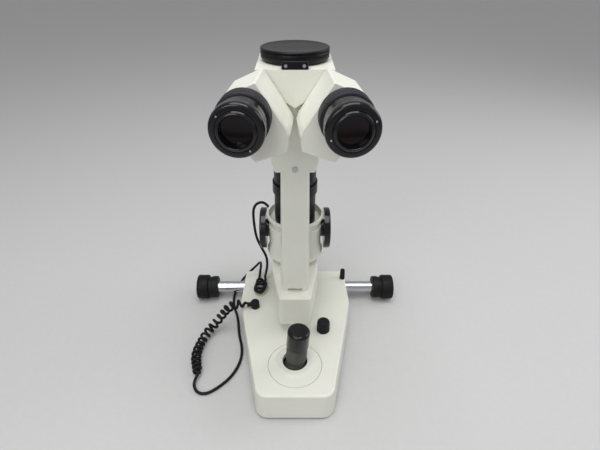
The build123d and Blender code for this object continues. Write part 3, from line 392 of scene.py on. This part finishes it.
def rib_band(piece, low, high, steps, every, depth, border):
    """Presses every nth side face between two heights inwards, before the piece is placed."""
    def in_band(face):
        if abs(face.normal.z) > 0.3 or not low * MM < face.center.z < high * MM:
            return False
        count = round((atan2(face.center.y, face.center.x) / tau) * steps - 0.5)
        return count % every == 0

    edit_faces(piece, in_band)
    bpy.ops.mesh.inset(thickness=border * MM, use_individual=True)
    bpy.ops.transform.shrink_fatten(value=-depth * MM)
    bpy.ops.object.mode_set(mode="OBJECT")


def facing(origin, across, up, out):
    """The place of a piece whose own Z points along out."""
    turn = Matrix((across, up, out)).transposed().to_4x4()
    return Matrix.Translation(origin) @ turn


def eyepiece_place(side):
    """Place on an eyepiece's axis, with Z towards the operator and zero at the toe pivot."""
    out = Vector((side * sin(TOE), -cos(TOE), 0))
    across = Vector((cos(TOE), side * sin(TOE), 0))
    origin = Vector((side * OPTIC_HALF, HEAD_AXIS_Y, OPTIC_Z))
    origin += across * side * EYE_OUT + Vector((0, 0, EYE_UP))
    return facing(origin, across, Vector((0, 0, 1)), out)


# ---------------------------------------------------------------- the lead


def from_axle(points):
    """Route points written in millimetres, with Y measured from the axle."""
    return [Vector((x * MM, y * MM + AXLE.y, z * MM)) for x, y, z in points]


CURL_ROUTE = from_axle([
    (-68.5, -71.2, 50.6), (-83.5, -73.5, 51.8), (-96, -71.5, 43), (-106, -72.5, 28),
    (-118, -77.5, 14), (-128, -89, 8.2), (-133.5, -108, 8), (-135.5, -127, 8),
    (-131, -145, 8), (-126.5, -157, 8),
])
TAIL_ROUTE = from_axle([
    (-126.7, -158.2, 7.6), (-131.5, -168.5, 3), (-125, -180.5, 2.2), (-112.5, -183.5, 2.2),
    (-97, -172.5, 2.2), (-83, -156.5, 2.2), (-74, -134, 2.2), (-74, -110, 2.2),
    (-82, -84, 2.2), (-87, -50, 2.2), (-97, -26, 2.2), (-99, 0, 2.2), (-94, 24, 2.4),
    (-83, 42, 8), (-66, 46, 24), (-57, 36, 42), (-54, 16, 51.5), (-54.5, 1, 50),
    (-55, -14, 49),
])
RISER_ROUTE = from_axle([
    (-46, -14, 52), (-44.5, -3, 52.5), (-43, 5, 61), (-44, 6, 76), (-50.5, 3, 94),
    (-57.5, 0, 116), (-59.5, -1, 144), (-59.5, 1, 164.5), (-53.5, 6, 171.5),
    (-42.5, 9.5, 170.5), (-36.3, 6.3, 161.9),
])
BUNDLE_ROUTE = from_axle([
    (-55, -14, 49), (-57, -20, 49), (-60, -29, 46), (-57, -40, 45), (-50, -46, 47), (-44, -40, 52),
    (-43, -30, 54), (-49, -23, 52), (-57, -24, 47), (-61, -33, 46), (-58, -44, 48), (-51, -48, 52),
    (-45, -42, 54), (-47, -31, 51), (-55, -27, 49), (-60, -35, 52), (-56, -43, 54), (-49, -39, 50),
    (-44, -30, 46), (-46, -21, 47), (-53, -19, 53), (-58, -26, 54), (-54, -34, 54), (-47, -32, 53),
    (-44, -24, 53), (-46, -14, 52),
])


# the curl opens and closes over this many turns, down to this share of its radius
CURL_FADE = 0.8
CURL_LEAST = 0.12
# how much further apart the turns lie at the plug than half way
CURL_SPREAD = 0.28
# a used lead's unevenness: share of the radius, and radians of turn
CURL_WAVER = 0.05
CURL_SLIP = 0.25


def smooth_line(name, points, radius):
    """A cord as one open NURBS spline with these control points."""
    curve = bpy.data.curves.new(name, "CURVE")
    curve.dimensions = "3D"
    curve.resolution_u = 6
    curve.bevel_depth = radius
    curve.bevel_resolution = 4
    curve.use_fill_caps = True
    spline = curve.splines.new("NURBS")
    spline.points.add(len(points) - 1)
    for target, point in zip(spline.points, points):
        target.co = (*point, 1)
    spline.order_u = 3
    spline.use_endpoint_u = True
    line = bpy.data.objects.new(name, curve)
    bpy.context.scene.collection.objects.link(line)
    return line


def line_points(points):
    """Points along the smooth line that these control points give."""
    guide = smooth_line("guide", points, 0.0)
    guide.data.resolution_u = 16
    mesh = bpy.data.meshes.new_from_object(guide)
    found = [vertex.co.copy() for vertex in mesh.vertices]
    curve = guide.data
    bpy.data.objects.remove(guide)
    bpy.data.curves.remove(curve)
    bpy.data.meshes.remove(mesh)
    return found


def curl_points(route, radius, turns, per_turn=14):
    """Helix points around a smooth route, loose and a little uneven as a used lead is."""
    line = line_points(route)
    lengths = [0.0]
    for a, b in zip(line, line[1:]):
        lengths.append(lengths[-1] + (b - a).length)
    total = lengths[-1]
    count = turns * per_turn
    found = []
    side = Vector((0, 0, 1))
    step = 0
    for i in range(count + 1):
        share = i / count
        reach = total * share * (1 + CURL_SPREAD * (1 - share))
        while step < len(line) - 2 and lengths[step + 1] < reach:
            step += 1
        run = line[step + 1] - line[step]
        along = (reach - lengths[step]) / max(run.length, 1e-9)
        centre = line[step] + run * along
        direction = run.normalized()
        side = (side - direction * side.dot(direction)).normalized()
        other = direction.cross(side)
        from_end = min(share, 1 - share) * turns
        taper = max(CURL_LEAST, min(1.0, from_end / CURL_FADE))
        size = radius * taper * (1 + CURL_WAVER * (sin(share * 19) - 1))
        angle = share * turns * tau + CURL_SLIP * sin(share * 31)
        found.append(centre + side * cos(angle) * size + other * sin(angle) * size)
    return found


def line_length(points):
    """Length along the middle of a cord with these control points."""
    line = line_points(points)
    return sum((b - a).length for a, b in zip(line, line[1:]))


class SLITLAMP_OT_lead(bpy.types.Operator):
    """Models the lead: curly length, plain length, bundle and riser"""

    bl_idname = "slitlamp.lead"
    bl_label = "Lead"

    def execute(self, context):
        sizes = context.scene.slit_lamp_sizes
        radius = sizes.lead_diameter / 2
        helix = curl_points(CURL_ROUTE, sizes.curl_diameter / 2 - radius, sizes.curl_turns)
        floor_run = (helix + TAIL_ROUTE[1:])[::-1]
        runs = (
            ("lead_floor_run", floor_run, ["lead_coil", "lead_tail"], "plug", ["lead_plug"]),
            ("lead_bundle_turns", BUNDLE_ROUTE, ["lead_bundle"], "object", []),
            ("lead_riser_run", RISER_ROUTE[::-1], ["lead_riser"], "object", []),
        )
        for name, points, replaced, far_end, going in runs:
            line = smooth_line(name, points, radius)
            line.data.materials.append(FINISHES["rubber"])
            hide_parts(*replaced)
            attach(line, "base")
            line_length(points)
        return {"FINISHED"}


# ---------------------------------------------------------------- turned and ribbed pieces


# profiles of the eyepieces, with heights from the toe pivot towards the operator
RING_PROFILE = (
    (16.1, 49.3), (21.2, 49.3), (22.0, 49.7), (22.3, 50.6), (22.3, 62.4), (21.9, 63.4),
    (21.3, 63.8), (16.1, 63.8), (16.1, 49.3),
)
CUP_PROFILE = (
    (16.1, 63.9), (20.2, 63.9), (20.5, 64.2), (20.5, 77.2), (21.0, 77.6), (21.5, 78.6),
    (21.5, 84.2), (21.1, 85.6), (20.2, 86.7), (18.9, 87.2), (16.5, 87.25), (16.3, 86.7),
    (15.9, 86.7), (15.8, 87.4), (14.9, 88.6), (13.6, 89.25), (12.9, 89.35), (12.5, 88.9),
    (12.3, 87.6), (12.1, 84.0), (13.0, 80.0), (13.0, 70.0), (16.1, 70.0), (16.1, 63.9),
)
LENS_PROFILE = (
    (13.0, 77.2), (13.0, 80.0), (12.2, 80.0), (11.5, 79.7), (9.5, 79.1), (7.0, 78.6),
    (4.0, 78.25), (1.5, 78.1), (0.05, 78.08),
)
PIN_PROFILE = ((0.75, 86.9), (0.75, 87.4), (0.5, 87.6))

# directions of the small pins on each eyecup's rim, and how far from its middle they sit
PIN_DIRECTIONS = {"left": ((-11, 9), (8, -12)), "right": ((13, 6), (-13, -5))}
PIN_REACH = 17.6


class SLITLAMP_OT_eyepieces(bpy.types.Operator):
    """Models the knurled dioptre rings, the eyecups and the eye lenses"""

    bl_idname = "slitlamp.eyepieces"
    bl_label = "Eyepieces"

    def execute(self, context):
        steps = context.scene.slit_lamp_sizes.knurl_count * 2
        for side, name in ((-1, "left"), (1, "right")):
            place = eyepiece_place(side)
            body = name + "_ocular"

            ring = turned(
                name + "_knurled_ring", RING_PROFILE, Matrix.Identity(4), steps, closed=True
            )
            rib_band(ring, 51, 62, steps, every=2, depth=0.22, border=0.1)
            ring.matrix_world = place
            finish_piece(ring, "knurled_grey", "grip_rubber", body, name + "_dioptre_ring")

            cup = turned(name + "_eyecup_shell", CUP_PROFILE, place, 96, closed=True)
            finish_piece(cup, "gloss_black", "black_plastic", body, name + "_eyecup")

            lens = turned(name + "_ocular_lens", LENS_PROFILE, place, 64)
            finish_piece(lens, "ocular_glass", "lens_glass", body, name + "_eye_lens", angle=60)

            for dot, (x, z) in enumerate(PIN_DIRECTIONS[name]):
                reach = PIN_REACH / hypot(x, z) * MM
                spot = place @ Matrix.Translation((x * reach, z * reach, 0))
                pin = turned(f"{name}_ocular_pin_{dot}", PIN_PROFILE, spot, 16)
                finish_piece(pin, "steel", "steel", body)
        return {"FINISHED"}


class SLITLAMP_OT_drum(bpy.types.Operator):
    """Models the magnification drum with the groove around its rim"""

    bl_idname = "slitlamp.drum"
    bl_label = "Magnification drum"

    def execute(self, context):
        low, high = (corner[2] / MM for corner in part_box("drum_knob"))
        drum = turned("drum_cap", [
            (30.2, low), (30.6, low + 0.2), (31.9, low + 2.4), (32.4, low + 3.2),
            (32.4, high - 3.3), (32.2, high - 3.0), (31.7, high - 2.9), (31.7, high - 2.1),
            (32.2, high - 2.0), (32.5, high - 1.7), (32.5, high - 0.9), (32.2, high - 0.4),
            (31.5, high - 0.05), (30.6, high), (29.8, high - 0.15), (12, high - 0.3),
        ], Matrix.Translation((DRUM.x, DRUM.y, 0)), 128)
        finish_piece(drum, "satin_black", "black_paint", "drum", "drum_knob")
        return {"FINISHED"}


# profile of an axle wheel, with heights outwards from the middle of the axle
WHEEL_PROFILE = (
    (9.1, 122.8), (16.2, 122.8), (16.8, 123.3), (17.0, 124.0), (17.0, 131.0), (16.5, 131.7),
    (16.0, 131.8), (16.0, 136.8), (17.6, 136.9), (18.4, 137.3), (18.95, 138.2),
    (18.95, 153.0), (18.3, 154.1), (17.4, 154.55), (14.6, 154.55), (13.8, 154.2),
    (13.4, 152.4), (9.1, 152.0), (9.1, 122.8),
)
WHEEL_STEPS = 120


class SLITLAMP_OT_wheels(bpy.types.Operator):
    """Models the axle wheels with their ribbed outer rims"""

    bl_idname = "slitlamp.wheels"
    bl_label = "Wheels"

    def execute(self, context):
        for side, name in ((-1, "left_wheel"), (1, "right_wheel")):
            wheel = turned(
                name + "_rim", WHEEL_PROFILE, Matrix.Identity(4), WHEEL_STEPS, closed=True
            )
            rib_band(wheel, 139, 152.9, WHEEL_STEPS, every=4, depth=0.35, border=0.12)
            across, up, out = Vector((0, side, 0)), Vector((0, 0, 1)), Vector((side, 0, 0))
            wheel.matrix_world = facing((0, AXLE.y, AXLE.z), across, up, out)
            finish_piece(wheel, "rubber", "wheel_rubber", "axle", name)
        return {"FINISHED"}


# ---------------------------------------------------------------- floor, light and camera


# name, position, point it is aimed at, side of the square and power
LAMPS = (
    ("ceiling_light", (0.0, -0.25, 1.6), (0, 0.02, 0.2), 1.1, 15),
    ("front_light", (-0.7, -1.4, 1.2), (0, 0, 0.2), 0.9, 7),
    ("side_light", (1.3, 0.3, 0.9), (0, 0, 0.2), 0.8, 5),
)

# the photograph's camera, with its focal length and its sideways shift in pixels
PHOTO_WIDTH = 600
FOCAL_PIXELS = 416
SHIFT_PIXELS = 5
SENSOR_WIDTH = 36
CAMERA_PLACE = (0, AXLE.y - 0.50478, 0.46906)
CAMERA_PITCH = radians(90 - 33.3)


def add_floor(context, colour):
    """A wide pale floor just under the feet."""
    bpy.ops.object.select_all(action="DESELECT")
    bpy.ops.mesh.primitive_plane_add(size=40, location=(0, 0, -0.0002))
    floor = context.object
    floor.name = "floor"
    bpy.ops.object.transform_apply(location=True)
    material, tree, shader, place = new_finish("floor")
    speckle = noise(tree, place, 120, 4).outputs["Fac"]
    vary_colour(tree, shader, speckle, shade(colour, 0.985), shade(colour, 1.01))
    shader.inputs["Roughness"].default_value = 0.7
    floor.data.materials.append(material)


def add_world(context):
    """A world that the camera sees as pale grey and that lights the object more faintly."""
    world = bpy.data.worlds.new("studio")
    context.scene.world = world
    world.use_nodes = True
    tree = world.node_tree
    tree.nodes.clear()
    output = tree.nodes.new("ShaderNodeOutputWorld")
    choose = tree.nodes.new("ShaderNodeMixShader")
    rays = tree.nodes.new("ShaderNodeLightPath")
    tree.links.new(rays.outputs["Is Camera Ray"], choose.inputs["Fac"])
    # the first shader lights the object, the second is what the camera sees
    shades = (((1, 1, 1, 1), 0.42), ((0.62, 0.62, 0.63, 1), 1.0))
    for socket, (colour, strength) in zip((1, 2), shades):
        background = tree.nodes.new("ShaderNodeBackground")
        background.inputs["Color"].default_value = colour
        background.inputs["Strength"].default_value = strength
        tree.links.new(background.outputs["Background"], choose.inputs[socket])
    tree.links.new(choose.outputs["Shader"], output.inputs["Surface"])


def add_lamps(context):
    """Three soft square lights."""
    for name, position, target, size, power in LAMPS:
        light = bpy.data.lights.new(name, "AREA")
        light.size = size
        light.energy = power
        lamp = bpy.data.objects.new(name, light)
        context.scene.collection.objects.link(lamp)
        lamp.location = position
        aim = Vector(target) - Vector(position)
        lamp.rotation_euler = aim.to_track_quat("-Z", "Y").to_euler()


def add_camera(context):
    """The camera at the photograph's viewing angle."""
    view = bpy.data.cameras.new("photo_camera")
    view.lens = SENSOR_WIDTH * FOCAL_PIXELS / PHOTO_WIDTH
    view.sensor_width = SENSOR_WIDTH
    view.sensor_fit = "HORIZONTAL"
    view.shift_x = SHIFT_PIXELS / PHOTO_WIDTH
    view.clip_end = 60
    camera = bpy.data.objects.new("photo_camera", view)
    context.scene.collection.objects.link(camera)
    camera.location = CAMERA_PLACE
    camera.rotation_euler = (CAMERA_PITCH, 0, 0)
    context.scene.camera = camera
    context.scene.view_settings.view_transform = "Standard"


class SLITLAMP_OT_stage(bpy.types.Operator):
    """Adds the pale floor, the soft lights and the camera"""

    bl_idname = "slitlamp.stage"
    bl_label = "Stage"

    def execute(self, context):
        add_floor(context, context.scene.slit_lamp_colours.floor)
        add_world(context)
        add_lamps(context)
        add_camera(context)
        return {"FINISHED"}


class SLITLAMP_PT_panel(bpy.types.Panel):
    """Lists the steps that dress the slit lamp"""

    bl_idname = "SLITLAMP_PT_panel"
    bl_label = "Slit lamp"
    bl_space_type = "VIEW_3D"
    bl_region_type = "UI"
    bl_category = "Slit lamp"

    def draw(self, context):
        column = self.layout.column()
        for group in (context.scene.slit_lamp_sizes, context.scene.slit_lamp_colours):
            for name in type(group).__annotations__:
                column.prop(group, name)
        for step in STEPS:
            column.operator(step.bl_idname)


# the finishes come first, because the other steps use them
STEPS = (
    SLITLAMP_OT_finishes,
    SLITLAMP_OT_stage,
    SLITLAMP_OT_lead,
    SLITLAMP_OT_eyepieces,
    SLITLAMP_OT_drum,
    SLITLAMP_OT_wheels,
)


CLASSES = (SlitLampSizes, SlitLampColours, *STEPS, SLITLAMP_PT_panel)


def register():
    for one in CLASSES:
        bpy.utils.register_class(one)
    bpy.types.Scene.slit_lamp_sizes = PointerProperty(type=SlitLampSizes)
    bpy.types.Scene.slit_lamp_colours = PointerProperty(type=SlitLampColours)


def unregister():
    del bpy.types.Scene.slit_lamp_colours
    del bpy.types.Scene.slit_lamp_sizes
    for one in reversed(CLASSES):
        bpy.utils.unregister_class(one)


def main():
    register()
    for step in STEPS:
        area, name = step.bl_idname.split(".")
        getattr(getattr(bpy.ops, area), name)()


if __name__ == "__main__":
    main()
